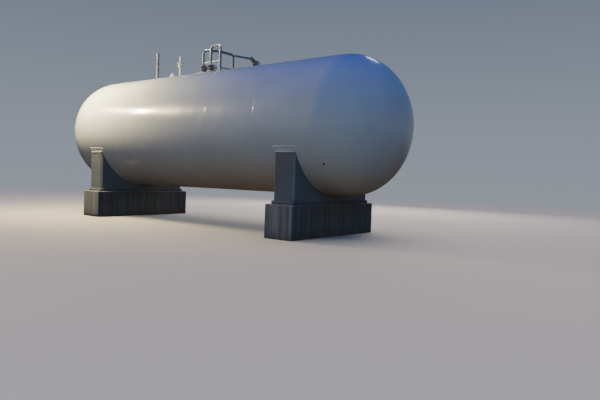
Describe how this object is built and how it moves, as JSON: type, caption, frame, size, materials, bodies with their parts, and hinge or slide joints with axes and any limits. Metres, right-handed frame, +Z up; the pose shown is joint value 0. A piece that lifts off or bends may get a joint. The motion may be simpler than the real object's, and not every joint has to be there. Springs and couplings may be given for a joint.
{
  "type": "horizontal cylindrical gas storage tank",
  "caption": "Above-ground horizontal cylindrical gas storage tank with dished heads, resting on concrete saddles and piers, with a vent, relief stack and valved piping on its crown.",
  "frame": {"origin": "on the ground below the middle of the tank, at the centre of the footprint", "axes": "+X along the tank's axis towards the near head, +Y across the tank away from the front, +Z up"},
  "size_m": [12.046, 3.5, 5.295],
  "materials": {
    "tank_paint": "cream gloss enamel on rolled steel plate, lightly weathered",
    "pipe_paint": "aluminium-grey paint on steel pipe",
    "valve_metal": "dark weathered paint on cast iron",
    "saddle_coat": "dark blue-grey coating on cast concrete",
    "mortar": "grey levelling mortar",
    "pier_concrete": "bare board-marked concrete, stained"
  },
  "bodies": {
    "root": {"shell_course_1": "tank_paint", "shell_course_2": "tank_paint", "shell_course_3": "tank_paint", "shell_course_4": "tank_paint", "shell_course_5": "tank_paint", "shell_course_6": "tank_paint", "head_near": "tank_paint", "head_far": "tank_paint", "wear_plate_near": "tank_paint", "wear_plate_far": "tank_paint", "saddle_near": "saddle_coat", "saddle_far": "saddle_coat", "saddle_cap_near_front": "tank_paint", "saddle_cap_near_back": "tank_paint", "saddle_cap_far_front": "tank_paint", "saddle_cap_far_back": "tank_paint", "mortar_bed_near": "mortar", "mortar_bed_far": "mortar", "pier_near": "pier_concrete", "pier_far": "pier_concrete", "vent_pad": "tank_paint", "vent_pipe": "pipe_paint", "hatch_neck": "tank_paint", "hatch_cap": "tank_paint", "relief_pad": "tank_paint", "relief_inlet": "tank_paint", "relief_valve": "tank_paint", "relief_stack": "tank_paint", "crown_pad": "tank_paint", "riser_a_neck": "tank_paint", "riser_a_valve": "valve_metal", "riser_a_pipe": "pipe_paint", "riser_b_neck": "tank_paint", "riser_b_valve": "valve_metal", "riser_b_loop": "pipe_paint", "loop_foot": "tank_paint", "bypass_loop": "tank_paint", "header_pipe": "pipe_paint", "header_pad": "tank_paint", "header_branch": "pipe_paint", "header_valve": "valve_metal", "header_blind_flange": "pipe_paint", "balance_neck": "tank_paint", "balance_line": "pipe_paint"}
  },
  "joints": []
}
